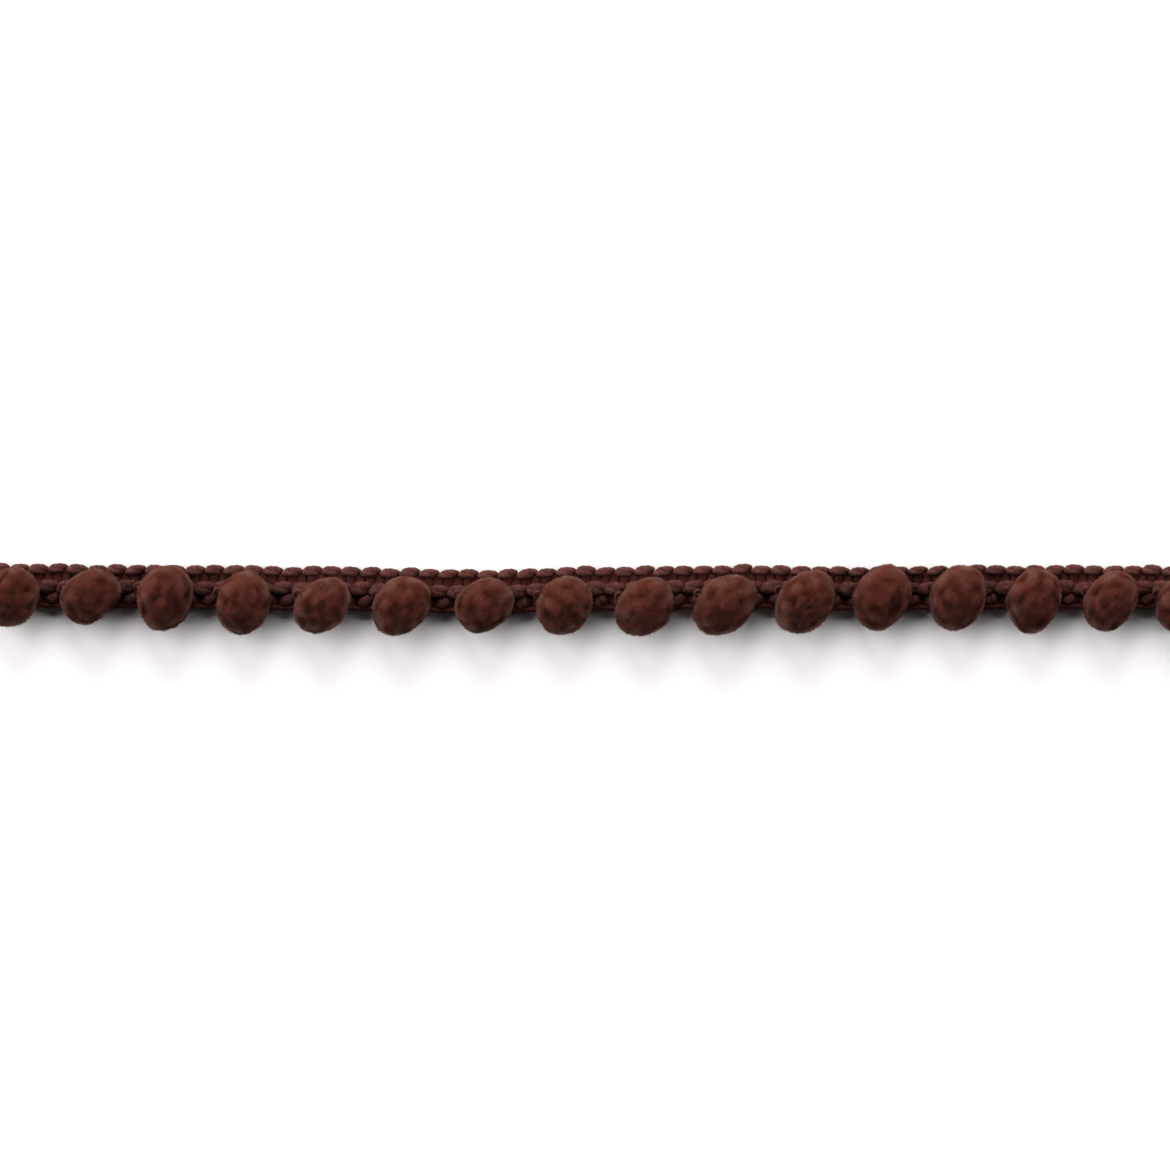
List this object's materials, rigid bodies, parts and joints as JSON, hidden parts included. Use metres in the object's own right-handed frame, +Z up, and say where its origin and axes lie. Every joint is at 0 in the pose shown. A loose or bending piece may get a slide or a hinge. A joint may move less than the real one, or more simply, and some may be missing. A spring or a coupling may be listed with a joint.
{
  "type": "pompom fringe trim",
  "caption": "Straight cut length of narrow knitted braid with a scalloped upper edge and small round tufted pompoms tied along its lower side, lying flat.",
  "frame": {"origin": "centre of the heading's flat back, which lies on the surface below", "axes": "+X along the trim, +Y across it towards the scalloped edge, +Z up out of the flat back towards the pompoms' tops"},
  "size_m": [0.1254, 0.0071, 0.0051],
  "materials": {
    "heading_yarn": "dark brown knitted polyester yarn, matt with a faint sheen on each stitch",
    "pompom_pile": "warm dark brown cut pile, matt and velvety"
  },
  "bodies": {
    "root": {"heading": "heading_yarn", "pompom_01": "pompom_pile", "pompom_02": "pompom_pile", "pompom_03": "pompom_pile", "pompom_04": "pompom_pile", "pompom_05": "pompom_pile", "pompom_06": "pompom_pile", "pompom_07": "pompom_pile", "pompom_08": "pompom_pile", "pompom_09": "pompom_pile", "pompom_10": "pompom_pile", "pompom_11": "pompom_pile", "pompom_12": "pompom_pile", "pompom_13": "pompom_pile", "pompom_14": "pompom_pile", "pompom_15": "pompom_pile", "pompom_16": "pompom_pile"}
  },
  "joints": []
}
